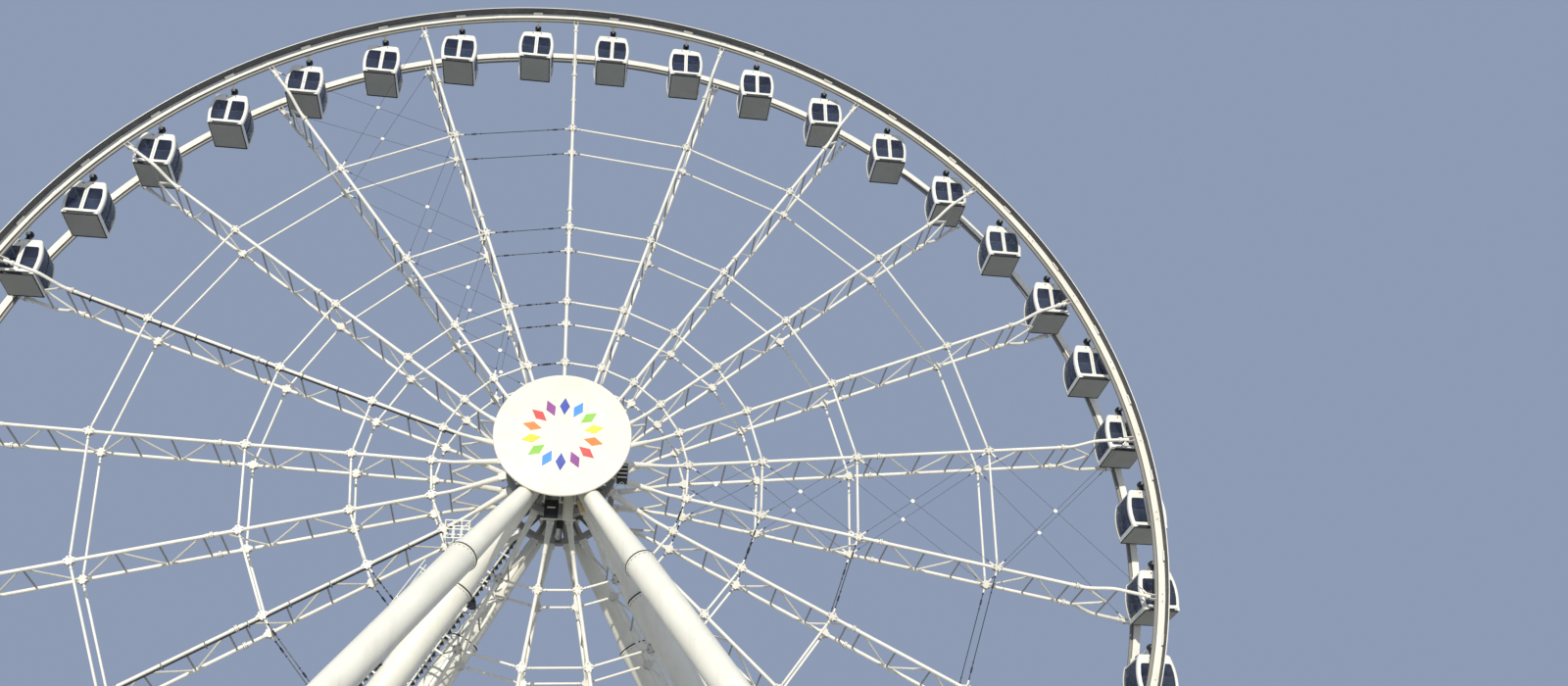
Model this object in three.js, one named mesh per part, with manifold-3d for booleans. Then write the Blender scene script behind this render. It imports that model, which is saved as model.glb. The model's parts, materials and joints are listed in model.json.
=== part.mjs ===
// Transportable ferris wheel with level-hanging cabins, as a half-size model.
// All named sizes are those of the full-size wheel in millimetres; SCALE brings them down.
// +Z is up, the wheel turns about the Y axis, and its front face looks along -Y.
import * as THREE from "three";
import { mergeVertices } from "three/addons/utils/BufferGeometryUtils.js";
import Module from "manifold-3d";

const wasm = await Module();
wasm.setup();

// Overall
const SCALE = 0.5;
const GAP = 0.6; // joint gap between pieces that touch
const HUB_HEIGHT = 32000;
const WHEEL_TURN = -2.23; // degrees the wheel stands off a spoke pointing straight up

// Wheel
const SPOKES = 21;
const SECTORS = [6, 5, 5, 5]; // spokes in each sector of the lattice
const RIM_SIDES = 42;
const RIM_INNER = 27500;
const RIM_OUTER = 27960;
const RIM_Y = 1530; // middle of each rim's box section
const RIM_BOX = 280;
const RIM_LIP = 440; // how far the outer lip stands out sideways
const RIM_LIP_DEPTH = 90;
const CHORD = 160;
const CHORD_Y = 1000; // middle of the chords along most of a spoke
const SPOKE_DEPTH = 140;
const ROOT_SPREAD = 900; // the chords spread towards the hub's flanges this far inside the first ring
const SPLICE_R = 24150; // where the chords start to spread towards the rims
const SPREAD_R = 25800; // where they have reached the rims' spacing
const RING_R = [5750, 9220, 13750, 20280]; // tie rings from the hub outwards
const BRACES = [1, 1, 1, 1]; // lattice bars in the bay outside each tie ring
const BRACE = 80;
const TIED = 3; // the outermost rings, whose ties are solid here
const TIE = 62; // radius of a tie's three-sided section
const ROD = 36; // the same for the thin rods that stand in for ties in some bays
const ROD_BAYS = [6, 13, 20];

// Hub
const HUB_SIDES = 21;
const HUB_R = 2450;
const HUB_FLANGE_Y = 1500;
const HUB_FLANGE = 240;
const HUB_TUBE_R = 1050;
const HUB_HALF = 1850;
const AXLE_R = 550;
const AXLE_HALF = 3380;
const AXLE_CLEARANCE = 4;
const COLLAR_R = 800; // bearing collars between the hub and the heads

// Cabins
const CABINS = 42;
const PIVOT_R = 27760;
const CABIN_DEPTH = 1910;
const CABIN_WALL = 60;
const CABIN_FLOOR = 90;
const ROOF_DROP = 400; // roof below the pivot
const WAIST_DROP = 1390;
const FLOOR_DROP = 2400;
const ROOF_HALF = 660;
const WAIST_HALF = 960;
const FLOOR_HALF = 800;
const SILL = 180; // frame below a window
const HEAD = 240; // frame above a window
const POST = 120; // corner posts
const SIDE_POST = 150;
const HANGER_Y = 700;
const HANGER_WIDTH = 240;
const CABIN_AXLE = 60; // half the axle's thickness

// Stand
const HEAD_R = 1000;
const HEAD_INNER_Y = 2200;
const HEAD_OUTER_Y = 3400;
const LEG_SIDES = 10;
const LEG_R = 615;
const CONE_TOP_R = 220;
const CONE_BOTTOM_R = 540;
const FLANGE_R = 660;
const FLANGE = 110;
const FLANGE_DROP = 6700; // flanged joint below the hub
const LAP = 10; // how far joined pieces run into each other
const UPRIGHT_APEX_Y = 2850;
const UPRIGHT_SLOPE = [0.561, 0.034]; // sideways and outwards for each unit down
const BRACED_APEX_Y = 2450;
const BRACED_SLOPE = [0.518, 0.6];
const DISC_SIDES = 28;
const DISC_R = 2940;
const DISC_Y = 4550;
const DISC = 130;
const DRUM_R = 1050;

// Base
const BEAM_HEIGHT = 400;
const BEAM_WIDTH = 600;
const PAD = 2400;

const BAY = (2 * Math.PI) / SPOKES;

// The wheel's plane, measured from the middle of the base.
const STAND_DROP = HUB_HEIGHT - BEAM_HEIGHT;
const FRONT_FOOT_Y = BRACED_APEX_Y + BRACED_SLOPE[1] * STAND_DROP;
const BACK_FOOT_Y = UPRIGHT_APEX_Y + UPRIGHT_SLOPE[1] * STAND_DROP;
const WHEEL_Y = (FRONT_FOOT_Y - BACK_FOOT_Y) / 2;

// Materials
function paint(color, roughness = 0.45, metalness = 0.1) {
  return new THREE.MeshStandardMaterial({ color, roughness, metalness });
}
const COLORS = {
  white: 0xece9dc,
  spoke: 0xe8e5d8,
  cabin: 0xe4e2d6,
  hub: 0x9b9b92,
  steel: 0x8f8f88,
  disc: 0xf0eddf,
};

// Solids
function solid(geometry) {
  const bare = geometry.clone();
  bare.deleteAttribute("normal");
  bare.deleteAttribute("uv");
  const merged = mergeVertices(bare, 1e-3);
  return new wasm.Manifold(
    new wasm.Mesh({
      numProp: 3,
      vertProperties: new Float32Array(merged.attributes.position.array),
      triVerts: new Uint32Array(merged.index.array),
    }),
  );
}

function geometryOf(made) {
  const m = made.getMesh();
  const g = new THREE.BufferGeometry();
  g.setAttribute("position", new THREE.BufferAttribute(new Float32Array(m.vertProperties), 3));
  g.setIndex(new THREE.BufferAttribute(new Uint32Array(m.triVerts), 1));
  g.computeVertexNormals();
  return g;
}

function join(geometries) {
  return wasm.Manifold.union(geometries.map(solid));
}

// A flat outline drawn out to the given depth, half of it on each side of its own plane.
function plate(points, depth) {
  const shape = new THREE.Shape(points.map(([x, y]) => new THREE.Vector2(x, y)));
  const g = new THREE.ExtrudeGeometry(shape, { depth, bevelEnabled: false });
  return g.translate(0, 0, -depth / 2);
}

function box(low, high) {
  const size = high.map((v, i) => v - low[i]);
  const middle = high.map((v, i) => (v + low[i]) / 2);
  return new THREE.BoxGeometry(...size).translate(...middle);
}

// A straight round bar from one point to another, tapered where two radii are given.
function bar(from, to, radius, sides, endRadius = radius) {
  const a = new THREE.Vector3(...from);
  const b = new THREE.Vector3(...to);
  const along = b.clone().sub(a);
  const g = new THREE.CylinderGeometry(endRadius, radius, along.length(), sides);
  const turn = new THREE.Quaternion().setFromUnitVectors(
    new THREE.Vector3(0, 1, 0),
    along.clone().normalize(),
  );
  const middle = a.add(b).multiplyScalar(0.5);
  return g.applyMatrix4(
    new THREE.Matrix4().compose(middle, turn, new THREE.Vector3(1, 1, 1)),
  );
}

// A closed profile of [radius, y] points turned about the wheel's axis, flats facing the spokes.
function turned(profile, sides) {
  const points = profile.map(([r, y]) => new THREE.Vector2(r, y));
  return new THREE.LatheGeometry(points, sides, Math.PI / sides, 2 * Math.PI);
}

function onCircle(radius, angle, y) {
  return [radius * Math.sin(angle), y, radius * Math.cos(angle)];
}

// Rims

// A rim's profile; radii are stretched so that its flats, not its corners, have the stated size.
function rim(side) {
  const k = 1 / Math.cos(Math.PI / RIM_SIDES);
  const inner = RIM_Y - RIM_BOX / 2;
  const outer = RIM_Y + RIM_BOX / 2;
  const low = RIM_INNER * k;
  const high = RIM_OUTER * k;
  const profile = [
    [low, inner],
    [low, outer],
    [high - RIM_LIP_DEPTH, outer],
    [high - RIM_LIP_DEPTH, outer + RIM_LIP],
    [high, outer + RIM_LIP],
    [high, inner],
    [low, inner],
  ];
  const placed = profile.map(([r, y]) => [r, side * y]);
  return turned(side > 0 ? placed.reverse() : placed, RIM_SIDES);
}

// Spokes

// One spoke as a flat lattice frame, standing along +Z.
function spoke() {
  const c = CHORD / 2;
  const inner = HUB_R + GAP;
  const outer = RIM_INNER - GAP;
  const rung = BRACE / 2;
  const flare = RING_R[0] - rung;
  const half = [
    [inner, HUB_FLANGE_Y + c],
    [RING_R[0] - ROOT_SPREAD, CHORD_Y + c],
    [SPLICE_R, CHORD_Y + c],
    [SPREAD_R, RIM_Y + c],
    [outer, RIM_Y + c],
    [outer, RIM_Y - c],
    [SPREAD_R, RIM_Y - c],
    [SPLICE_R + rung, CHORD_Y - c],
  ];
  const root = [
    [flare, CHORD_Y - c],
    [RING_R[0] - ROOT_SPREAD, CHORD_Y - c],
    [inner, HUB_FLANGE_Y - c],
  ];
  const mirrored = (points) => points.map(([r, y]) => [r, -y]).reverse();
  const points = [...half, ...mirrored(half), ...mirrored(root), ...root];
  const stops = [...RING_R, SPLICE_R];
  const windows = BRACES.flatMap((count, i) => {
    const from = stops[i] + rung;
    const to = stops[i + 1] - rung;
    return bayWindows(from, to, count);
  });
  const frame = solid(plate(points, SPOKE_DEPTH));
  const cut = join(windows.map((window) => plate(window, 2 * SPOKE_DEPTH)));
  const basis = new THREE.Matrix4().makeBasis(
    new THREE.Vector3(0, 0, 1),
    new THREE.Vector3(0, 1, 0),
    new THREE.Vector3(-1, 0, 0),
  );
  return geometryOf(frame.subtract(cut)).applyMatrix4(basis);
}

// Windows of a lattice bay: the zigzag bars leave one triangle more than there are bars.
function bayWindows(from, to, count) {
  const half = CHORD_Y - CHORD / 2;
  const step = (to - from) / count;
  const slope = Math.hypot(step, 2 * half) / (2 * half);
  const cut = (BRACE / 2) * slope;
  const rise = (cut * 2 * half) / step;
  const windows = [];
  for (let i = 0; i <= count; i++) {
    const side = i % 2 ? -1 : 1;
    const apex = from + i * step;
    const left = apex - step + cut;
    const right = apex + step - cut;
    if (i === 0) {
      windows.push([
        [from, side * half],
        [right, side * half],
        [from, side * (rise - half)],
      ]);
    } else if (i === count) {
      windows.push([
        [to, side * half],
        [to, side * (rise - half)],
        [left, side * half],
      ]);
    } else {
      windows.push([
        [left, side * half],
        [right, side * half],
        [apex, side * (rise - half)],
      ]);
    }
  }
  return windows;
}

// The spokes of one sector with the straight ties after each of them; the last spoke's ties
// stop just short of the next sector's first spoke.
function sector(first, count) {
  const upright = spoke();
  const pieces = [];
  for (let i = first; i < first + count; i++) {
    const angle = i * BAY;
    const radius = ROD_BAYS.includes(i) ? ROD : TIE;
    pieces.push(upright.clone().rotateY(angle));
    for (const r of RING_R.slice(-TIED)) {
      for (const y of [-CHORD_Y, CHORD_Y]) {
        pieces.push(bar(onCircle(r, angle, y), onCircle(r, angle + BAY, y), radius, 3));
      }
    }
  }
  const far = RIM_OUTER;
  const next = box([-SPOKE_DEPTH / 2 - GAP, -far, 0], [far, far, far]);
  return join(pieces).subtract(solid(next.rotateY((first + count) * BAY)));
}

// Hub and axle
function hub() {
  const k = 1 / Math.cos(Math.PI / HUB_SIDES);
  const bore = (AXLE_R + AXLE_CLEARANCE) * k;
  const low = HUB_FLANGE_Y - HUB_FLANGE / 2;
  const high = HUB_FLANGE_Y + HUB_FLANGE / 2;
  const flange = HUB_R * k;
  return turned(
    [
      [bore, -HUB_HALF],
      [HUB_TUBE_R, -HUB_HALF],
      [HUB_TUBE_R, -high],
      [flange, -high],
      [flange, -low],
      [HUB_TUBE_R, -low],
      [HUB_TUBE_R, low],
      [flange, low],
      [flange, high],
      [HUB_TUBE_R, high],
      [HUB_TUBE_R, HUB_HALF],
      [bore, HUB_HALF],
      [bore, -HUB_HALF],
    ],
    HUB_SIDES,
  );
}

// The fixed axle with a bearing collar on each side of the hub.
function axle() {
  const near = HUB_HALF + GAP;
  const far = HEAD_INNER_Y - GAP;
  const half = [
    [AXLE_R, near],
    [COLLAR_R, near],
    [COLLAR_R, far],
    [AXLE_R, far],
    [AXLE_R, AXLE_HALF],
    [0, AXLE_HALF],
  ];
  const mirrored = half.map(([r, y]) => [r, -y]).reverse();
  return turned([...mirrored, ...half], HUB_SIDES);
}

// Cabins

// Width profile of a cabin, kept inside by inset; z is measured from the pivot.
function cabinSection(inset, floor) {
  const top = -ROOF_DROP - inset;
  const bottom = -FLOOR_DROP + floor;
  const half = [
    [ROOF_HALF - inset, top],
    [WAIST_HALF - inset, -WAIST_DROP],
    [FLOOR_HALF - inset, bottom],
  ];
  return [...half, ...half.map(([x, z]) => [-x, z]).reverse()];
}

function alongY(points, depth) {
  return plate(points, depth).applyMatrix4(
    new THREE.Matrix4().makeBasis(
      new THREE.Vector3(1, 0, 0),
      new THREE.Vector3(0, 0, 1),
      new THREE.Vector3(0, -1, 0),
    ),
  );
}

// One hollow cabin with its window openings, hanger plates and axle, pivot at the origin.
function cabin() {
  const low = -FLOOR_DROP + SILL;
  const high = -ROOF_DROP - HEAD;
  const reach = WAIST_HALF + CABIN_WALL;
  const halfDepth = CABIN_DEPTH / 2;
  const openings = [
    alongY(cabinSection(CABIN_WALL, CABIN_FLOOR), CABIN_DEPTH - 2 * CABIN_WALL),
    box([-reach, -halfDepth + SIDE_POST, low], [reach, halfDepth - SIDE_POST, high]),
  ];
  const window = [
    [FLOOR_HALF - POST, low],
    [ROOF_HALF - POST / 2, high],
  ];
  const mirrored = window.map(([x, z]) => [-x, z]).reverse();
  openings.push(alongY([...window, ...mirrored], CABIN_DEPTH + CABIN_WALL));
  const shell = solid(alongY(cabinSection(0, 0), CABIN_DEPTH)).subtract(join(openings));
  return shell.add(solid(hanger()));
}

// The frame a cabin hangs in: its axle from rim to rim and two plates down to the roof.
function hanger() {
  const reach = RIM_Y - RIM_BOX / 2 - GAP;
  const foot = -ROOF_DROP - CABIN_WALL / 2;
  const inner = HANGER_Y - HANGER_WIDTH / 2;
  const outer = HANGER_Y + HANGER_WIDTH / 2;
  const half = [
    [inner, -CABIN_AXLE],
    [inner, foot],
    [outer, foot],
    [outer, -CABIN_AXLE],
    [reach, -CABIN_AXLE],
    [reach, CABIN_AXLE],
  ];
  const mirrored = half.map(([y, z]) => [-y, z]).reverse();
  return plate([...half, ...mirrored], 2 * CABIN_AXLE).applyMatrix4(
    new THREE.Matrix4().makeBasis(
      new THREE.Vector3(0, 1, 0),
      new THREE.Vector3(0, 0, 1),
      new THREE.Vector3(1, 0, 0),
    ),
  );
}

// Stand

// A point on a leg's axis at the given drop below the hub.
function legPoint(apexY, slope, sideX, sideY, drop) {
  return [sideX * slope[0] * drop, sideY * (apexY + slope[1] * drop), -drop];
}

// The cone of a leg with its flange, from the apex down to the flanged joint.
function cone(apexY, slope, sideX, sideY) {
  const length = Math.hypot(1, ...slope);
  const at = (drop) => legPoint(apexY, slope, sideX, sideY, drop);
  const joint = FLANGE_DROP;
  const above = joint - FLANGE / length;
  return [
    bar(at(above + LAP), at(0), CONE_BOTTOM_R, LEG_SIDES, CONE_TOP_R),
    bar(at(joint), at(above), FLANGE_R, LEG_SIDES),
  ];
}

// The drum at the end of the axle that the cones of one side meet in.
function head(sideY, legs) {
  const bore = AXLE_R + GAP;
  const near = sideY * HEAD_INNER_Y;
  const far = sideY * HEAD_OUTER_Y;
  const low = Math.min(near, far);
  const high = Math.max(near, far);
  const disc = (radius, from, to) =>
    turned(
      [
        [0, from],
        [radius, from],
        [radius, to],
        [0, to],
      ],
      HUB_SIDES,
    );
  const pieces = [disc(HEAD_R, low, high)];
  for (const [apexY, slope] of legs) {
    for (const sideX of [-1, 1]) pieces.push(...cone(apexY, slope, sideX, sideY));
  }
  return join(pieces).subtract(solid(disc(bore, low - HEAD_R, high + HEAD_R)));
}

// A leg's tube from the flanged joint down to the level top of the base.
function leg(apexY, slope, sideX, sideY) {
  const length = Math.hypot(1, ...slope);
  const at = (drop) => legPoint(apexY, slope, sideX, sideY, drop);
  const top = FLANGE_DROP + GAP / length;
  const under = top + FLANGE / length;
  const tube = join([
    bar(at(HUB_HEIGHT), at(top), LEG_R, LEG_SIDES),
    bar(at(under), at(top), FLANGE_R, LEG_SIDES),
  ]);
  const ground = -HUB_HEIGHT + BEAM_HEIGHT + GAP;
  const far = 3 * HUB_HEIGHT;
  return tube.subtract(solid(box([-far, -far, -far], [far, far, ground])));
}

// The white disc in front of the front head, on a short drum.
function disc() {
  const back = -HEAD_OUTER_Y - GAP;
  return turned(
    [
      [0, -DISC_Y],
      [DISC_R, -DISC_Y],
      [DISC_R, DISC - DISC_Y],
      [DRUM_R, DISC - DISC_Y],
      [DRUM_R, back],
      [0, back],
    ],
    DISC_SIDES,
  );
}

// Base

function beam(from, to) {
  const dx = to[0] - from[0];
  const dy = to[1] - from[1];
  const g = new THREE.BoxGeometry(Math.hypot(dx, dy), BEAM_WIDTH, BEAM_HEIGHT);
  g.rotateZ(Math.atan2(dy, dx));
  return g.translate((from[0] + to[0]) / 2, (from[1] + to[1]) / 2, BEAM_HEIGHT / 2);
}

// The ground frame: a pad under each leg and beams from pad to pad.
function base() {
  const foot = (apexY, slope, sideX, sideY) => {
    const [x, y] = legPoint(apexY, slope, sideX, sideY, STAND_DROP);
    return [x, y + WHEEL_Y];
  };
  const front = [-1, 1].map((x) => foot(BRACED_APEX_Y, BRACED_SLOPE, x, -1));
  const middle = [-1, 1].map((x) => foot(UPRIGHT_APEX_Y, UPRIGHT_SLOPE, x, -1));
  const back = [-1, 1].map((x) => foot(UPRIGHT_APEX_Y, UPRIGHT_SLOPE, x, 1));
  const pieces = [front, middle, back].flatMap(([left, right]) => [
    beam(left, right),
    ...[left, right].map(([x, y]) =>
      box([x - PAD / 2, y - PAD / 2, 0], [x + PAD / 2, y + PAD / 2, BEAM_HEIGHT]),
    ),
  ]);
  for (const i of [0, 1]) {
    pieces.push(beam(front[i], middle[i]), beam(middle[i], back[i]));
  }
  return join(pieces);
}

// Assembly
const root = new THREE.Group();
root.scale.setScalar(SCALE);

function mesh(parent, name, shape, material) {
  const geometry = shape.isBufferGeometry ? shape : geometryOf(shape);
  const made = new THREE.Mesh(geometry, material);
  made.name = name;
  parent.add(made);
  return made;
}

const axis = new THREE.Group();
axis.position.set(0, WHEEL_Y, HUB_HEIGHT);
root.add(axis);

const wheel = new THREE.Group();
wheel.rotation.y = THREE.MathUtils.degToRad(WHEEL_TURN);
axis.add(wheel);

mesh(wheel, "front_rim", rim(-1), paint(COLORS.white));
mesh(wheel, "back_rim", rim(1), paint(COLORS.white));
mesh(wheel, "hub", hub(), paint(COLORS.hub));
SECTORS.forEach((count, i) => {
  const first = SECTORS.slice(0, i).reduce((sum, n) => sum + n, 0);
  mesh(wheel, `spokes_${"abcd"[i]}`, sector(first, count), paint(COLORS.spoke));
});

const cabinShape = geometryOf(cabin());
for (let i = 0; i < CABINS; i++) {
  const angle = ((i + 0.5) * 2 * Math.PI) / CABINS + wheel.rotation.y;
  const name = `cabin_${String(i + 1).padStart(2, "0")}`;
  const made = mesh(axis, name, cabinShape.clone(), paint(COLORS.cabin));
  made.position.set(...onCircle(PIVOT_R, angle, 0));
}

const braced = [BRACED_APEX_Y, BRACED_SLOPE];
const upright = [UPRIGHT_APEX_Y, UPRIGHT_SLOPE];
mesh(axis, "front_head", head(-1, [braced, upright]), paint(COLORS.white));
mesh(axis, "back_head", head(1, [upright]), paint(COLORS.white));
for (const [sideX, side] of [[-1, "left"], [1, "right"]]) {
  mesh(axis, `outrigger_${side}`, leg(...braced, sideX, -1), paint(COLORS.white));
  mesh(axis, `front_leg_${side}`, leg(...upright, sideX, -1), paint(COLORS.white));
  mesh(axis, `back_leg_${side}`, leg(...upright, sideX, 1), paint(COLORS.white));
}
mesh(axis, "axle", axle(), paint(COLORS.steel));
mesh(axis, "front_disc", disc(), paint(COLORS.disc));
mesh(root, "base_frame", base(), paint(COLORS.steel));

export default root;
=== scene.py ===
import json
import math

import bmesh
import bpy
from bmesh.types import BMEdge, BMFace, BMVert
from bpy.props import FloatProperty, FloatVectorProperty, IntProperty, PointerProperty
from mathutils import Matrix, Vector


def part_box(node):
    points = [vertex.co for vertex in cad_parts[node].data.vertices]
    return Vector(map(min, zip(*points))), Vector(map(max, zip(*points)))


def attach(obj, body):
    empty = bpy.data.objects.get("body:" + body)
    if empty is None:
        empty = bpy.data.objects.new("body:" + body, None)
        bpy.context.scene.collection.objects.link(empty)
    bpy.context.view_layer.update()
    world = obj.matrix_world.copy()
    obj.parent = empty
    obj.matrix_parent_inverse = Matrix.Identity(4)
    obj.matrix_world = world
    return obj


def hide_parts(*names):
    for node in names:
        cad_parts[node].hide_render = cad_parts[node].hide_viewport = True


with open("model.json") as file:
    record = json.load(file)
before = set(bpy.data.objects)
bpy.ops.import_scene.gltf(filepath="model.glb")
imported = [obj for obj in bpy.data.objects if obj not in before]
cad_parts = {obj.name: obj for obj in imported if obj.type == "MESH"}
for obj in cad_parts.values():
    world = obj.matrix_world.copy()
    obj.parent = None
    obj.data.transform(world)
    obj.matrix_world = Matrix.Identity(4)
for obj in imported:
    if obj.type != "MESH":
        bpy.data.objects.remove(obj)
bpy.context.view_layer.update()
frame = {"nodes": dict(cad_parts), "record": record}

bl_info = {
    "name": "Ferris Wheel",
    "version": (1, 0, 0),
    "blender": (4, 5, 0),
    "location": "View3D > Sidebar > Ferris Wheel",
    "description": "Dresses the packed ferris wheel with its rims, spokes, cabins, legs and stage",
    "category": "Object",
}

# Place in the model
MODEL_SCALE = 0.5
AXLE_LOW, AXLE_HIGH = (Vector(corner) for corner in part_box("axle"))
HUB = (AXLE_LOW + AXLE_HIGH) / 2
PLACE = Matrix.Translation(HUB) @ Matrix.Scale(MODEL_SCALE, 4)
GROUND = -HUB.z / MODEL_SCALE

# Layout of the wheel. Spokes and bays are counted clockwise from the spoke at the top, as seen
# from the front. RINGS are the radii of the ties, ROD_BAYS have thin rods in place of tubes,
# CABLE_BAYS have crossed cables, and CORD_SPOKES carry a supply cable.
FRONT, BACK = -1, 1
WHEEL_TURN = math.radians(-2.23)
SPOKES = 21
SECTORS = {"a": range(0, 6), "b": range(6, 11), "c": range(11, 16), "d": range(16, 21)}
BAY = math.tau / SPOKES
ROD_BAYS = (6, 13, 20)
CABLE_BAYS = (5, 12, 19)
CORD_SPOKES = (14, 17)
RINGS = (5.75, 9.22, 13.75, 20.28)

# Lattice of a spoke: radii of the lacing's corners, with the main tube that each one stands on,
# the gap that a slanting tube leaves at its corners, and radii of the cross tubes and splices.
LACING = (
    ((23.7, BACK), (22.03, FRONT), (20.28, BACK), (18.57, FRONT), (16.88, BACK), (15.15, FRONT)),
    ((14.47, FRONT), (12.75, BACK), (11.0, FRONT), (9.22, BACK), (7.5, FRONT), (5.75, BACK)),
)
LACE_GAP = 0.07
RUNGS = (7.5, 11.0, 12.75, 14.47, 15.15, 16.88, 18.57, 22.03, 23.7, 24.4)
SPLICES = (14.81, 24.05)

# Main tubes of a spoke from the hub outwards: root, straight part, and the spread to the rims.
ROOT_R, ROOT_Y = 2.45, 1.5
ROOT_BRACE_R = 3.5
STRAIGHT_R = 4.85
SPREAD_START, SPREAD_END = 24.35, 25.8
CHORD_END = 27.3

# Facets round the turned shapes, and the angle past which an edge looks sharp.
RIM_SIDES, HUB_SIDES, AXLE_SIDES, DISC_SIDES, HOOP_SIDES = 252, 84, 64, 128, 96
CREASE = math.radians(30)


# Property groups
def length(name, description, default):
    return FloatProperty(name=name, description=description, default=default, unit="LENGTH")


def colour(name, description, default):
    return FloatVectorProperty(
        name=name, description=description, default=default, size=3, subtype="COLOR", min=0, max=1
    )


class WheelSizes(bpy.types.PropertyGroup):
    """Sizes of the turning structure, full size."""

    rim_radius: length("Rim radius", "Outer radius of both rims", 28.0)
    rim_inner: length("Rim inner radius", "Inner radius of the rims' box section", 27.52)
    rim_spacing: length("Rim spacing", "From the wheel's plane to a rim's middle", 1.53)
    rim_width: length("Rim width", "Width of a rim's box section along the axle", 0.28)
    lip_reach: length("Lip reach", "How far the outer lip stands out sideways", 0.43)
    chord_radius: length("Chord radius", "Radius of a spoke's two main tubes", 0.08)
    chord_spacing: length("Chord spacing", "From the wheel's plane to a main tube", 1.0)
    lace_radius: length("Lace radius", "Radius of the slanting tubes of a spoke", 0.048)
    rung_radius: length("Rung radius", "Radius of the cross tubes of a spoke", 0.041)
    tie_radius: length("Tie radius", "Radius of the tubes between spokes", 0.054)
    cable_radius: length("Cable radius", "Radius of the crossed cables", 0.009)


class CabinSizes(bpy.types.PropertyGroup):
    """Sizes of a cabin, full size, below its pivot."""

    depth: length("Depth", "Length of a cabin along the axle", 1.91)
    roof_drop: length("Roof drop", "From the pivot down to the roof", 0.4)
    floor_drop: length("Floor drop", "From the pivot down to the underside", 2.4)
    waist_drop: length("Waist drop", "From the pivot down to the widest place", 1.48)
    waist_half: length("Half width", "Half the width at the widest place", 0.95)
    shoulder_half: length("Half shoulder width", "Half the width just below the roof", 0.73)
    roof_half: length("Half roof width", "Half the width of the flat roof", 0.62)
    floor_half: length("Half floor width", "Half the width at the floor", 0.83)
    post: length("Post width", "Width of the corner posts", 0.165)


class StandSizes(bpy.types.PropertyGroup):
    """Sizes of the legs and the disc, full size."""

    leg_radius: length("Leg radius", "Radius of a leg's tube", 0.615)
    flange_radius: length("Flange radius", "Radius of the legs' bolted rings", 0.65)
    flange_drop: length("Flange drop", "From the hub down to the bolted joint", 6.7)
    disc_radius: length("Disc radius", "Radius of the white disc", 2.94)
    disc_front: length("Disc distance", "From the wheel's plane to the disc's face", 4.55)
    tube_sides: IntProperty(name="Tube sides", description="Facets round a leg", default=48, min=12)


class Finishes(bpy.types.PropertyGroup):
    """Colours of the paints and other finishes."""

    steel_white: colour("White coat", "Coat of the rims, spokes and ties", (0.84, 0.81, 0.71))
    leg_white: colour("Leg coat", "Coat of the legs and heads", (0.82, 0.8, 0.7))
    cabin_white: colour("Cabin coat", "Coat of the cabins", (0.86, 0.84, 0.76))
    disc_white: colour("Disc coat", "Face of the disc", (0.84, 0.76, 0.63))
    dust: colour("Dust", "Dirt that gathers on the coats", (0.33, 0.29, 0.22))
    # Partly painted shade: the cabins' grey underside panel, made darker to stand for the shade below it.
    underside: colour("Underside", "Grey panel below each cabin", (0.33, 0.33, 0.29))
    # Painted shade: a near-black coat on the lip's white inner face, where it lies in shadow.
    track: colour("Track", "Running surface inside the rims' lip", (0.095, 0.096, 0.102))
    # Partly painted shade: a grey hub coat kept dark for the shade behind the disc; the disc's hoop uses
    # it too.
    hub_shade_grey: colour("Hub coat", "Coat of the turning hub", (0.3, 0.29, 0.26))
    glass: colour("Glass", "Tint of the cabins' glass", (0.012, 0.018, 0.045))
    dark_steel: colour("Dark steel", "Hangers, cables and cabinets", (0.03, 0.031, 0.034))
    seat: colour("Seat", "Covers of the benches", (0.26, 0.33, 0.4))
    zinc: colour("Zinc", "Galvanised steel of the base", (0.42, 0.43, 0.42))
    floor: colour("Studio floor", "Pale floor of the stage", (0.7, 0.67, 0.59))
    sky: colour("Studio light", "Soft light all round", (0.27, 0.33, 0.46))


# Finishes
def nodes_of(name):
    """A new material with its node tree and its shader."""
    material = bpy.data.materials.new(name)
    material.use_nodes = True
    tree = material.node_tree
    return material, tree, tree.nodes["Principled BSDF"]


def noise(tree, scale, detail=4.0, roughness=0.6, stretch=(1, 1, 1)):
    """A noise pattern on object coordinates, stretched along one axis where asked."""
    place = tree.nodes.new("ShaderNodeTexCoord")
    mapping = tree.nodes.new("ShaderNodeMapping")
    mapping.inputs["Scale"].default_value = stretch
    pattern = tree.nodes.new("ShaderNodeTexNoise")
    pattern.inputs["Scale"].default_value = scale
    pattern.inputs["Detail"].default_value = detail
    pattern.inputs["Roughness"].default_value = roughness
    tree.links.new(place.outputs["Object"], mapping.inputs["Vector"])
    tree.links.new(mapping.outputs["Vector"], pattern.inputs["Vector"])
    return pattern.outputs["Fac"]


def ramp(tree, value, low, high):
    """A colour ramp over a value between two stops, each a place and a colour."""
    made = tree.nodes.new("ShaderNodeValToRGB")
    for point, (place, shade) in zip(made.color_ramp.elements, (low, high)):
        point.position = place
        point.color = (*shade, 1)
    tree.links.new(value, made.inputs["Fac"])
    return made.outputs["Color"]


def feed(tree, shader, name, value, low, high):
    """Feeds an input of the shader from a ramp over a value."""
    tree.links.new(ramp(tree, value, low, high), shader.inputs[name])


def covered(tree, tone, dust, grime):
    """A tone under dust, as thick as the grime says."""
    made = tree.nodes.new("ShaderNodeMix")
    made.data_type = "RGBA"
    tree.links.new(grime, made.inputs[0])
    tree.links.new(tone, made.inputs[6])
    made.inputs[7].default_value = (*dust, 1)
    return made.outputs[2]


def bump(tree, shader, height, strength, distance):
    made = tree.nodes.new("ShaderNodeBump")
    made.inputs["Strength"].default_value = strength
    made.inputs["Distance"].default_value = distance
    tree.links.new(height, made.inputs["Height"])
    tree.links.new(made.outputs["Normal"], shader.inputs["Normal"])


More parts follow.
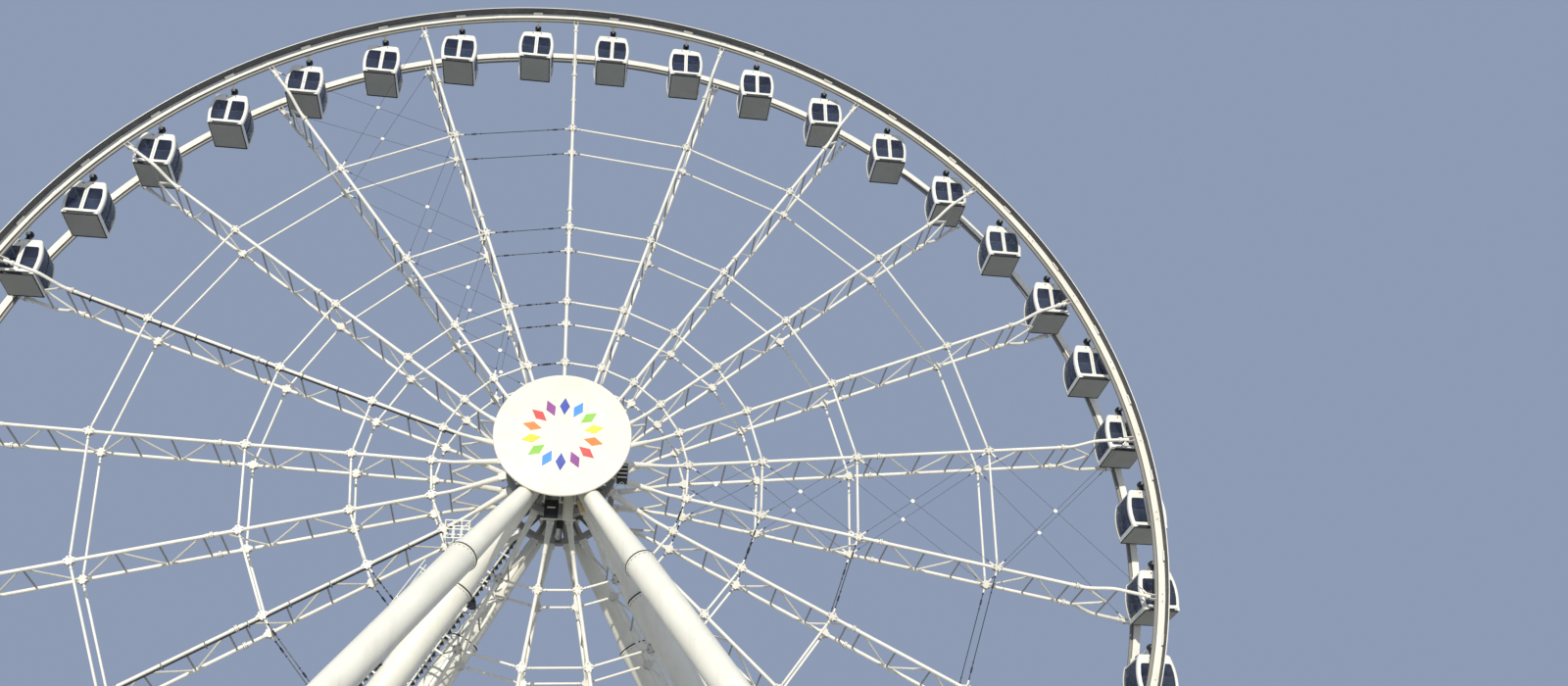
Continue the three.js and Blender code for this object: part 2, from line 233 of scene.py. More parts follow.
def grey(level):
    return (level, level, level)


def scaled(tone, factor):
    """A colour made paler or deeper."""
    return tuple(min(1.0, channel * factor) for channel in tone)


def coat(name, base, dust, amount, roughness=0.38, streak=(1, 1, 1), patch=0.7):
    """Weathered gloss paint: broad tone drift, dust in patches and runs, and a faint orange peel."""
    material, tree, shader = nodes_of(name)
    broad = noise(tree, patch, 3.0, 0.55)
    runs = noise(tree, 2.6, 6.0, 0.7, streak)
    tone = ramp(tree, broad, (0.32, scaled(base, 0.93)), (0.68, scaled(base, 1.06)))
    grime = ramp(tree, runs, (0.5, grey(0)), (0.82, grey(amount)))
    tree.links.new(covered(tree, tone, dust, grime), shader.inputs["Base Color"])
    glossy, dull = grey(roughness - 0.06), grey(roughness + 0.22)
    feed(tree, shader, "Roughness", runs, (0.3, glossy), (0.8, dull))
    bump(tree, shader, noise(tree, 38.0, 2.0), 0.05, 0.004)
    return material


def glass_of(name, tint):
    """Dark tinted glass with a faint film of dust."""
    material, tree, shader = nodes_of(name)
    film = noise(tree, 1.8, 5.0, 0.65)
    pale = tuple(channel * 2.6 + 0.012 for channel in tint)
    feed(tree, shader, "Base Color", film, (0.4, tint), (0.75, pale))
    feed(tree, shader, "Roughness", film, (0.3, grey(0.05)), (0.8, grey(0.2)))
    shader.inputs["IOR"].default_value = 1.5
    shader.inputs["Alpha"].default_value = 0.5
    return material


def metal(name, base, roughness, metallic):
    """Bare or zinc-coated steel with a mottled surface."""
    material, tree, shader = nodes_of(name)
    mottle = noise(tree, 9.0, 5.0, 0.7)
    feed(tree, shader, "Base Color", mottle, (0.3, scaled(base, 0.7)), (0.7, scaled(base, 1.25)))
    glossy, dull = grey(roughness - 0.1), grey(roughness + 0.12)
    feed(tree, shader, "Roughness", mottle, (0.3, glossy), (0.7, dull))
    shader.inputs["Metallic"].default_value = metallic
    bump(tree, shader, mottle, 0.08, 0.004)
    return material


def cloth(name, base):
    """Woven bench cover with a small weave."""
    material, tree, shader = nodes_of(name)
    weave = noise(tree, 60.0, 2.0)
    feed(tree, shader, "Base Color", weave, (0.35, base), (0.7, scaled(base, 1.4)))
    shader.inputs["Roughness"].default_value = 0.85
    bump(tree, shader, weave, 0.2, 0.003)
    return material


def finish(name):
    """The named finish, made the first time that it is asked for."""
    if name in bpy.data.materials:
        return bpy.data.materials[name]
    tones = bpy.context.scene.wheel_finishes
    white, dust = tones.steel_white, tones.dust
    recipes = {
        "rim_coat": (coat, white, dust, 0.3),
        # Painted shade: white paint darkened to three tenths for the shaded foot and underside of the
        # rims.
        "rim_foot_coat": (coat, scaled(white, 0.3), dust, 0.4),
        "spoke_coat": (coat, white, dust, 0.35, 0.38, (1, 1, 0.4)),
        # Painted shade: the rungs are white tubes, darkened to four tenths for their shaded undersides.
        "rung_coat": (coat, scaled(white, 0.4), dust, 0.4),
        "plate_coat": (coat, scaled(white, 0.78), dust, 0.5),
        "leg_coat": (coat, tones.leg_white, dust, 0.22, 0.34, (1.5, 1.5, 0.15)),
        "cabin_coat": (coat, tones.cabin_white, dust, 0.2, 0.3),
        "disc_coat": (coat, tones.disc_white, dust, 0.12, 0.42, (1, 1, 1), 0.3),
        "underside_coat": (coat, tones.underside, dust, 0.5, 0.6),
        "track_coat": (coat, tones.track, dust, 0.5, 0.65),
        "hub_coat": (coat, tones.hub_shade_grey, dust, 0.4, 0.55),
        "cream_coat": (coat, (0.75, 0.6, 0.36), dust, 0.3, 0.5),
        "cabin_glass": (glass_of, tones.glass),
        "dark_steel": (metal, tones.dark_steel, 0.45, 0.5),
        "zinc": (metal, tones.zinc, 0.5, 0.75),
        "bolt_steel": (metal, scaled(tones.zinc, 0.6), 0.45, 0.8),
        "bench_cover": (cloth, tones.seat),
    }
    maker, *values = recipes[name]
    return maker(name, *values)


# Mesh helpers
def only(kind, geom):
    """The vertices, edges or faces among what an operator returns."""
    return [item for item in geom if isinstance(item, kind)]


def paint(verts, material):
    """Gives the faces round some vertices a material other than the first."""
    if material:
        for face in {face for vert in verts for face in vert.link_faces}:
            face.material_index = material


def facing(way):
    """The turn that brings +Z to a direction."""
    return way.to_track_quat("Z", "Y").to_matrix().to_4x4()


def bar(bm, start, end, radius, sides=8, material=0, end_radius=None):
    """A straight round bar, tapered where a second radius is given."""
    start, end = Vector(start), Vector(end)
    axis = end - start
    made = bmesh.ops.create_cone(
        bm, cap_ends=True, segments=sides, radius1=radius,
        radius2=radius if end_radius is None else end_radius, depth=axis.length,
        matrix=Matrix.Translation((start + end) / 2) @ facing(axis),
    )
    paint(made["verts"], material)


def bars_along(bm, point, way, rows):
    """Bars in a row from a point, each with its start, end, radius, sides and material."""
    for start, end, radius, sides, material in rows:
        bar(bm, point + way * start, point + way * end, radius, sides, material)


def block(bm, centre, size, material=0, turn=Matrix(), bevel=0.0):
    """A box round a centre, turned and with softened edges where asked."""
    matrix = Matrix.Translation(centre) @ turn @ Matrix.Diagonal((*size, 1))
    verts = bmesh.ops.create_cube(bm, size=1, matrix=matrix)["verts"]
    paint(verts, material)
    if bevel:
        edges = {edge for vert in verts for edge in vert.link_edges}
        bmesh.ops.bevel(
            bm, geom=list(edges), offset=bevel, offset_type="OFFSET", segments=2, profile=0.5,
            affect="EDGES", material=-1,
        )


def mirrored(points):
    """The points in reverse order, brought across to the other side."""
    return [(-x, z) for x, z in reversed(points)]


def flipped(points):
    """The points in reverse order, with the second number's sign changed."""
    return [(x, -z) for x, z in reversed(points)]


def loop(bm, points, matrix):
    """A closed ring of edges through flat (across, up) points."""
    verts = [bm.verts.new(matrix @ Vector((x, 0, z))) for x, z in points]
    return [bm.edges.new((verts[i - 1], verts[i])) for i in range(len(verts))]


def panel(bm, outline, holes, thickness, matrix, material=0):
    """A flat panel with holes, drawn out along +Y by its thickness."""
    edges = [edge for ring in (outline, *holes) for edge in loop(bm, ring, matrix)]
    filled = bmesh.ops.triangle_fill(bm, edges=edges, use_beauty=True, use_dissolve=False)
    faces = only(BMFace, filled["geom"])
    for face in faces:
        face.material_index = material
    verts = only(BMVert, bmesh.ops.extrude_face_region(bm, geom=faces)["geom"])
    bmesh.ops.translate(bm, vec=matrix.to_3x3() @ Vector((0, thickness, 0)), verts=verts)
    paint(verts, material)


def swept(bm, path, radius, sides):
    """A round tube along a path, mitred at each bend and closed at both ends."""
    path = [Vector(point) for point in path]
    ring = bmesh.ops.create_circle(
        bm, cap_ends=True, segments=sides, radius=radius,
        matrix=Matrix.Translation(path[0]) @ facing(path[1] - path[0]),
    )["verts"]
    edges = list({edge for vert in ring for edge in vert.link_edges})
    for i in range(1, len(path)):
        along = (path[i] - path[i - 1]).normalized()
        ahead = (path[i + 1] - path[i]).normalized() if i + 1 < len(path) else along
        cut = (along + ahead).normalized()
        grown = bmesh.ops.extrude_edge_only(bm, edges=edges)["geom"]
        edges = only(BMEdge, grown)
        for vert in only(BMVert, grown):
            vert.co += along * ((path[i] - vert.co).dot(cut) / along.dot(cut))
    bmesh.ops.edgeloop_fill(bm, edges=edges)


def turned(bm, profile, sides, side=1):
    """A closed (radius, y) profile spun about the Y axis, on the side of the wheel's plane asked."""
    verts = [bm.verts.new((0, side * y, radius)) for radius, y in profile]
    edges = [bm.edges.new((verts[i - 1], verts[i])) for i in range(len(verts))]
    bmesh.ops.spin(
        bm, geom=verts + edges, cent=(0, 0, 0), axis=(0, 1, 0), dvec=(0, 0, 0), angle=math.tau,
        steps=sides, use_merge=True, use_duplicate=False,
    )


def add_copies(bm, template, matrices):
    """Adds one copy of a mesh for each matrix."""
    for matrix in matrices:
        placed = template.copy()
        placed.transform(matrix)
        bm.from_mesh(placed)
        bpy.data.meshes.remove(placed)


def as_mesh(bm, name):
    mesh = bpy.data.meshes.new(name)
    bm.to_mesh(mesh)
    bm.free()
    return mesh


def about_axle(angle):
    return Matrix.Rotation(angle, 4, "Y")


def spoke_angle(k):
    return k * BAY + WHEEL_TURN


def on_wheel(radius, angle, y):
    return Vector((radius * math.sin(angle), y, radius * math.cos(angle)))


def settle(bm, matrix):
    """Moves a bmesh to its place, faces outwards and edges sharp past the crease."""
    bmesh.ops.transform(bm, matrix=matrix, verts=bm.verts)
    bmesh.ops.recalc_face_normals(bm, faces=bm.faces)
    for face in bm.faces:
        face.smooth = True
    for edge in bm.edges:
        if len(edge.link_faces) == 2 and edge.calc_face_angle(0) > CREASE:
            edge.smooth = False


def add_object(name, data):
    made = bpy.data.objects.new(name, data)
    bpy.context.scene.collection.objects.link(made)
    return made


def make_piece(bm, name, finishes, body, replaces=()):
    """Makes a full-size bmesh a piece of the model and hangs it on its body."""
    settle(bm, PLACE)
    hang(as_mesh(bm, name), name, finishes, body, replaces)


def hang(mesh, name, finishes, body, replaces):
    """Gives a mesh its finishes and hangs it on its body."""
    for item in finishes:
        mesh.materials.append(finish(item))
    piece = add_object(name, mesh)
    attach(piece, body)
    if replaces:
        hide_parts(*replaces)


# Operators
class WHEEL_OT_stage(bpy.types.Operator):
    """Sets the pale floor, the soft light and the camera"""

    bl_idname = "wheel.stage"
    bl_label = "Stage"

    def execute(self, context):
        tones = context.scene.wheel_finishes
        self.floor(tones)
        self.light(context, tones)
        self.camera(context)
        return {"FINISHED"}

    def floor(self, tones):
        radius, drop = 42, 0.002
        bm = bmesh.new()
        bmesh.ops.create_circle(bm, cap_ends=True, segments=96, radius=radius)
        mesh = as_mesh(bm, "studio_floor")
        material, tree, shader = nodes_of("studio_floor")
        low, high = (0.3, tones.floor), (0.7, scaled(tones.floor, 1.05))
        feed(tree, shader, "Base Color", noise(tree, 0.15), low, high)
        shader.inputs["Roughness"].default_value = 0.9
        mesh.materials.append(material)
        ground = add_object("studio_floor", mesh)
        ground.location.z = -drop

    def light(self, context, tones):
        world = bpy.data.worlds.new("studio_world")
        world.use_nodes = True
        background = world.node_tree.nodes["Background"]
        background.inputs["Color"].default_value = (*tones.sky, 1)
        background.inputs["Strength"].default_value = 1.0
        context.scene.world = world
        self.sun("key_light", 3.25, 0.8, (1.0, 0.96, 0.86), (-0.2, -1.0, 0.31))
        self.sun("fill_light", 0.3, 60.0, (1.0, 0.97, 0.9), (0.45, -0.85, 0.25))

    def sun(self, name, energy, spread, tone, way):
        """A distant light from a direction, with soft shadows where its spread in degrees is wide."""
        lamp = bpy.data.lights.new(name, "SUN")
        lamp.energy = energy
        lamp.angle = math.radians(spread)
        lamp.color = tone
        holder = add_object(name, lamp)
        holder.rotation_euler = Vector(way).to_track_quat("Z", "Y").to_euler()

    def camera(self, context):
        """The camera of the photograph, from its place in wheel radii and its three angles."""
        wheel_radius = 13.8
        offset = Vector((0.0351, -2.0511, -1.024)) * wheel_radius
        yaw, pitch, roll = (math.radians(angle) for angle in (9.525, 32.512, -1.291))
        ahead = Vector(
            (math.sin(yaw) * math.cos(pitch), math.cos(yaw) * math.cos(pitch), math.sin(pitch))
        )
        level = Vector((math.cos(yaw), -math.sin(yaw), 0))
        above = level.cross(ahead)
        right = level * math.cos(roll) + above * math.sin(roll)
        up = above * math.cos(roll) - level * math.sin(roll)
        camera = bpy.data.cameras.new("photo_camera")
        camera.sensor_width = 36
        camera.lens = 31.237
        camera.clip_end = 500
        eye = add_object("photo_camera", camera)
        turn = Matrix((right, up, -ahead)).transposed().to_4x4()
        eye.matrix_world = Matrix.Translation(HUB + offset) @ turn
        context.scene.camera = eye
        context.scene.view_settings.view_transform = "Standard"


class WHEEL_OT_rims(bpy.types.Operator):
    """Builds both rims with their outer lips, splices and cabin bearings"""

    bl_idname = "wheel.rims"
    bl_label = "Rims"

    def execute(self, context):
        for side, name in ((FRONT, "front_rim"), (BACK, "back_rim")):
            self.rim(context.scene.wheel_sizes, side, name)
        return {"FINISHED"}

    def rim(self, sizes, side, name):
        """A box with a recessed foot and a lip; the lip's inner face and the foot take darker coats of
        their own, which paint their shade.
        """
        inner = sizes.rim_spacing - sizes.rim_width / 2
        outer = sizes.rim_spacing + sizes.rim_width / 2
        reach = outer + sizes.lip_reach
        low, high = sizes.rim_inner, sizes.rim_radius
        step, lip, soft, web = low + 0.13, high - 0.04, 0.02, 0.09
        profile = [
            (low, inner + web), (step, inner + web), (step, inner), (high - soft, inner),
            (high, inner + soft), (high, reach), (lip, reach), (lip, outer), (step, outer),
            (step, outer - web), (low, outer - web),
        ]
        bm = bmesh.new()
        turned(bm, profile, RIM_SIDES, side)
        bmesh.ops.recalc_face_normals(bm, faces=bm.faces)
        # The lip's inner faces take a near-black coat that paints their shade.
        track, foot = 1, 3
        for face in bm.faces:
            middle = face.calc_center_median()
            radial = Vector((middle.x, 0, middle.z)).normalized()
            if abs(middle.y) > outer and face.normal.dot(radial) < -0.5:
                face.material_index = track
            # The recessed foot takes the dark coat that paints its shade.
            if math.hypot(middle.x, middle.z) < step + 0.001:
                face.material_index = foot
        fitting = self.fitting(sizes, side)
        add_copies(bm, fitting, [about_axle(spoke_angle(k / 2 + 0.25)) for k in range(2 * SPOKES)])
        finishes = ["rim_coat", "track_coat", "bolt_steel", "rim_foot_coat"]
        make_piece(bm, name + "_ring", finishes, "wheel", [name])

    def fitting(self, sizes, side):
        """Bearing at a cabin's pivot, its lug under the lip, and a bolted splice a quarter bay on."""
        inner = side * (sizes.rim_spacing - sizes.rim_width / 2)
        outer = side * (sizes.rim_spacing + sizes.rim_width / 2)
        middle = (sizes.rim_inner + sizes.rim_radius) / 2
        bm = bmesh.new()
        for y in (outer + side * 0.008, inner - side * 0.008):
            block(bm, (0, y, middle + 0.06), (0.5, 0.016, 0.28))
        for x in (-0.17, 0.17):
            bolt = Vector((x, outer, middle + 0.06))
            bar(bm, bolt, bolt + Vector((0, side * 0.035, 0)), 0.03, 6, 2)
        bmesh.ops.transform(bm, matrix=about_axle(BAY / 4), verts=bm.verts)
        block(bm, (0, inner - side * 0.05, middle - 0.02), (0.34, 0.1, 0.34), bevel=0.03)
        block(bm, (0, outer + side * 0.07, sizes.rim_radius - 0.1), (0.5, 0.14, 0.06))
        return as_mesh(bm, "rim_fitting")


class WHEEL_OT_spokes(bpy.types.Operator):
    """Builds the lattice spokes in four sectors"""

    bl_idname = "wheel.spokes"
    bl_label = "Spokes"

    def execute(self, context):
        sizes = context.scene.wheel_sizes
        template = self.spoke(sizes)
        for sector, spokes in SECTORS.items():
            bm = bmesh.new()
            add_copies(bm, template, [about_axle(spoke_angle(k)) for k in spokes])
            name = "spokes_" + sector
            finishes = ["spoke_coat", "bolt_steel", "rung_coat", "plate_coat"]
            make_piece(bm, name + "_lattice", finishes, "wheel", [name])
        self.cords(sizes)
        return {"FINISHED"}

    def chord_y(self, sizes, radius):
        """Distance of a main tube from the wheel's plane at a radius."""
        if radius < STRAIGHT_R:
            share = (STRAIGHT_R - radius) / (STRAIGHT_R - ROOT_R)
            return sizes.chord_spacing + (ROOT_Y - sizes.chord_spacing) * share
        share = min(max((radius - SPREAD_START) / (SPREAD_END - SPREAD_START), 0), 1)
        swing = share * share * (3 - 2 * share)
        return sizes.chord_spacing + (sizes.rim_spacing - sizes.chord_spacing) * swing

    def spoke(self, sizes):
        bm = bmesh.new()
        steps = 6
        bends = [SPREAD_START + (SPREAD_END - SPREAD_START) * i / steps for i in range(steps + 1)]
        for side in (FRONT, BACK):
            stops = [ROOT_R, STRAIGHT_R - 0.1, STRAIGHT_R + 0.1, *bends, CHORD_END]
            path = [(0, side * self.chord_y(sizes, radius), radius) for radius in stops]
            swept(bm, path, sizes.chord_radius, 12)
            self.ends(bm, sizes, side)
            for radius in RINGS:
                self.node(bm, sizes, side, radius)
            for radius in SPLICES:
                self.splice(bm, sizes, side, radius)
        self.lace(bm, sizes)
        return as_mesh(bm, "spoke_template")

    def lace(self, bm, sizes):
        for run in LACING:
            for (from_r, from_side), (to_r, to_side) in zip(run, run[1:]):
                start, end = from_r - LACE_GAP, to_r + LACE_GAP
                bar(
                    bm, (0, from_side * self.chord_y(sizes, start), start),
                    (0, to_side * self.chord_y(sizes, end), end), sizes.lace_radius,
                )
        # The rungs take the darkened coat that paints their shade.
        for radius in (*RUNGS, STRAIGHT_R + 0.1, SPREAD_END):
            y = self.chord_y(sizes, radius)
            bar(bm, (0, -y, radius), (0, y, radius), sizes.rung_radius, 8, 2)
        for side in (FRONT, BACK):
            for start, end in ((ROOT_BRACE_R, STRAIGHT_R + 0.06), (SPREAD_START + 0.1, SPREAD_END)):
                y = side * self.chord_y(sizes, start)
                bar(bm, (0, y, start), (0, side * 0.03, end - 0.05), sizes.lace_radius * 1.2)

    def node(self, bm, sizes, side, radius):
        """A pair of bolted gusset plates round a main tube, with the ears that the ties bolt to."""
        y = side * sizes.chord_spacing
        corner = ((0.2, 0.09), (0.12, 0.12), (0.09, 0.225))
        right = flipped(corner) + list(corner)
        for offset in (-0.105, 0.085):
            matrix = Matrix.Translation((0, y + offset, radius))
            panel(bm, right + mirrored(right), (), 0.02, matrix, 3)
        face = y + side * 0.105
        for x, z in ((-0.15, 0), (0.15, 0), (0, -0.17), (0, 0.17)):
            head = (x, face + side * 0.04, radius + z)
            bar(bm, (x, face, radius + z), head, 0.036, 6, 1)
        bar(bm, (0, y, radius - 0.27), (0, y, radius + 0.27), sizes.chord_radius * 1.14, 12)

    def splice(self, bm, sizes, side, radius):
        y = side * self.chord_y(sizes, radius)
        for z in (-0.035, 0.035):
            bar(bm, (0, y, radius + z - 0.025), (0, y, radius + z + 0.025), 0.15, 14)
        for z in (-0.17, 0.17):
            bar(bm, (0, y, radius + z - 0.1), (0, y, radius + z + 0.1), sizes.chord_radius * 1.22, 12)
        bolts, ring, lift = 6, 0.12, Vector((0, 0, 0.09))
        for i in range(bolts):
            angle = i * math.tau / bolts
            middle = Vector((ring * math.cos(angle), y + ring * math.sin(angle), radius))
            bar(bm, middle - lift, middle + lift, 0.018, 6, 1)

    def ends(self, bm, sizes, side):
        """Fork and pin at the hub and at the rim."""
        y = side * self.chord_y(sizes, ROOT_R)
        block(bm, (0, y, ROOT_R + 0.16), (0.34, 0.22, 0.4), bevel=0.03)
        low, high = ROOT_R + 0.3, STRAIGHT_R - 0.7
        foot = (0, side * self.chord_y(sizes, low), low)
        bar(bm, foot, (0, side * self.chord_y(sizes, high), high), 0.15, 12, end_radius=0.1)
        bar(bm, (-0.19, y, ROOT_R + 0.2), (0.19, y, ROOT_R + 0.2), 0.055, 10, 1)
        y = side * sizes.rim_spacing
        for x in (-0.1, 0.1):
            block(bm, (x, y, CHORD_END + 0.02), (0.03, 0.22, 0.46), bevel=0.01)
        bar(bm, (-0.15, y, CHORD_END - 0.06), (0.15, y, CHORD_END - 0.06), 0.05, 10, 1)
        bar(bm, (0, y, CHORD_END - 0.5), (0, y, CHORD_END - 0.36), 0.12, 12)

    def cords(self, sizes):
        """Supply cables strapped under the front tube of two spokes."""
        x, y = -0.12, -sizes.chord_spacing
        straps, first_strap, strap_gap = 11, 5.6, 1.75
        bm = bmesh.new()
        bar(bm, (x, y, STRAIGHT_R + 0.3), (x, y, SPREAD_START - 0.2), 0.035)
        for i in range(straps):
            block(bm, (x / 2, y, first_strap + strap_gap * i), (0.26, 0.19, 0.04))
        template = as_mesh(bm, "supply_cable_template")
        bm = bmesh.new()
        add_copies(bm, template, [about_axle(spoke_angle(k)) for k in CORD_SPOKES])
        make_piece(bm, "supply_cables", ["dark_steel"], "wheel")


class WHEEL_OT_ties(bpy.types.Operator):
    """Builds the tubes, rods and crossed cables between the spokes"""

    bl_idname = "wheel.ties"
    bl_label = "Ties"

    def execute(self, context):
        sizes = context.scene.wheel_sizes
        tubes = bmesh.new()
        rods = bmesh.new()
        for k in range(SPOKES):
            for radius in RINGS:
                for side in (FRONT, BACK):
                    ends = [
                        on_wheel(radius, spoke_angle(k + i), side * sizes.chord_spacing) for i in (0, 1)
                    ]
                    if k in ROD_BAYS:
                        self.rod(rods, tubes, sizes, *ends)
                    else:
                        self.tube(tubes, sizes, *ends)
        make_piece(tubes, "tie_tubes", ["spoke_coat", "bolt_steel"], "wheel")
        make_piece(rods, "tie_rods", ["dark_steel", "bolt_steel"], "wheel")
        self.cables(sizes)
        return {"FINISHED"}

    def tube(self, bm, sizes, start, end):
        along = (end - start).normalized()
        radius = sizes.tie_radius
        bar(bm, start + along * 0.3, end - along * 0.3, radius, 10)
        rows = (
            (0.05, 0.34, radius * 0.8, 8, 0), (0.33, 0.37, radius * 1.35, 10, 0),
            (0.37, 0.385, radius * 1.3, 10, 1),
        )
        for point, away in ((start, along), (end, -along)):
            bars_along(bm, point, away, rows)

    def rod(self, bm, tubes, sizes, start, end):
        along = (end - start).normalized()
        bar(bm, start + along * 0.3, end - along * 0.3, 0.02, 6)
        rows = ((0.42, 0.5, 0.035, 8, 0), (0.8, 1.05, 0.042, 8, 0), (1.25, 1.3, 0.035, 8, 0))
        for point, away in ((start, along), (end, -along)):
            bar(tubes, point + away * 0.05, point + away * 0.42, sizes.tie_radius * 0.8, 10)
            bars_along(bm, point, away, rows)

    def cables(self, sizes):
        bm = bmesh.new()
        stops = [(radius, sizes.chord_spacing) for radius in RINGS] + [(CHORD_END, sizes.rim_spacing)]
        for k in CABLE_BAYS:
            for (low, low_y), (high, high_y) in zip(stops, stops[1:]):
                for side in (FRONT, BACK):
                    self.cross(bm, sizes, k, (low, side * low_y), (high, side * high_y))
        make_piece(bm, "crossed_cables", ["dark_steel", "spoke_coat"], "wheel")

    def cross(self, bm, sizes, k, low, high):
        """Two cables across a bay with a clamping disc where they meet."""
        near, far = spoke_angle(k), spoke_angle(k + 1)
        first = (on_wheel(low[0], near, low[1]), on_wheel(high[0], far, high[1]))
        second = (on_wheel(low[0], far, low[1]), on_wheel(high[0], near, high[1]))
        shift = Vector((0, 2 * sizes.cable_radius, 0))
        bar(bm, *first, sizes.cable_radius, 6)
        bar(bm, second[0] + shift, second[1] + shift, sizes.cable_radius, 6)
        share = low[0] / (low[0] + high[0])
        middle = first[0].lerp(first[1], share)
        bar(bm, middle - shift * 1.5, middle + shift * 2.5, 0.095, 16, 1)
        rows = ((0.12, 0.46, 0.045, 8, 1), (0.46, 0.62, 0.022, 8, 0))
        for start, end in (first, second, first[::-1], second[::-1]):
            bars_along(bm, start, (end - start).normalized(), rows)


class WHEEL_OT_hub(bpy.types.Operator):
    """Builds the turning hub with its two holed flanges and the fixed axle in it"""

    bl_idname = "wheel.hub"
    bl_label = "Hub"

    def execute(self, context):
        bm = bmesh.new()
        half = [(0.575, 1.84), (1.05, 1.84), (1.05, 1.68), (1.24, 1.64), (1.24, 1.36), (1.05, 1.3)]
        turned(bm, half + flipped(half), HUB_SIDES)
        ring = [(2.34, 1.34), (2.48, 1.34), (2.48, 1.66), (2.34, 1.66)]
        for side in (FRONT, BACK):
            turned(bm, ring, HUB_SIDES, side)
            for y in (1.38, 1.59):
                self.web(bm, side * y)
        add_copies(bm, self.rib(), [about_axle(spoke_angle(k)) for k in range(SPOKES)])
        finishes = ["hub_coat", "bolt_steel"]
        make_piece(bm, "hub_drum", finishes, "wheel", ["hub"])
        self.axle()
        return {"FINISHED"}

    def web(self, bm, y):
        """Round plate between sleeve and ring, with a hole between each two spokes."""
        def flat(radius, angle):
            return radius * math.sin(angle), radius * math.cos(angle)

        rings = [[flat(radius, i * BAY / 4) for i in range(4 * SPOKES)] for radius in (2.36, 1.2)]
        corners = ((1.45, -0.24), (1.45, 0.24), (2.2, 0.34), (2.2, -0.34))
        holes = [
            [flat(radius, spoke_angle(k + 0.5 + share)) for radius, share in corners]
            for k in range(SPOKES)
        ]
        panel(bm, rings[0], (rings[1], *holes), 0.03, Matrix.Translation((0, y - 0.015, 0)))

    def rib(self):
        bm = bmesh.new()
        outline = [(1.04, -1.36), (2.3, -1.36), (1.5, -0.7), (1.5, 0.7), (2.3, 1.36), (1.04, 1.36)]
        lie = Matrix(((0, 1, 0, 0), (0, 0, 1, 0), (1, 0, 0, 0), (0, 0, 0, 1)))
        panel(bm, outline, (), 0.05, lie)
        for side in (FRONT, BACK):
            for radius in (1.35, 2.2):
                y = side * 1.62
                bar(bm, (0, y, radius), (0, y + side * 0.05, radius), 0.045, 6, 1)
        return as_mesh(bm, "hub_rib")

    def axle(self):
        bm = bmesh.new()
        half = [(0.55, 1.855), (0.8, 1.855), (0.8, 2.19), (0.55, 2.19), (0.55, 3.38)]
        turned(bm, [(0.001, 3.38), (0.001, -3.38)] + flipped(half) + half, AXLE_SIDES)
        make_piece(bm, "axle_shaft", ["bolt_steel"], "stand", ["axle"])


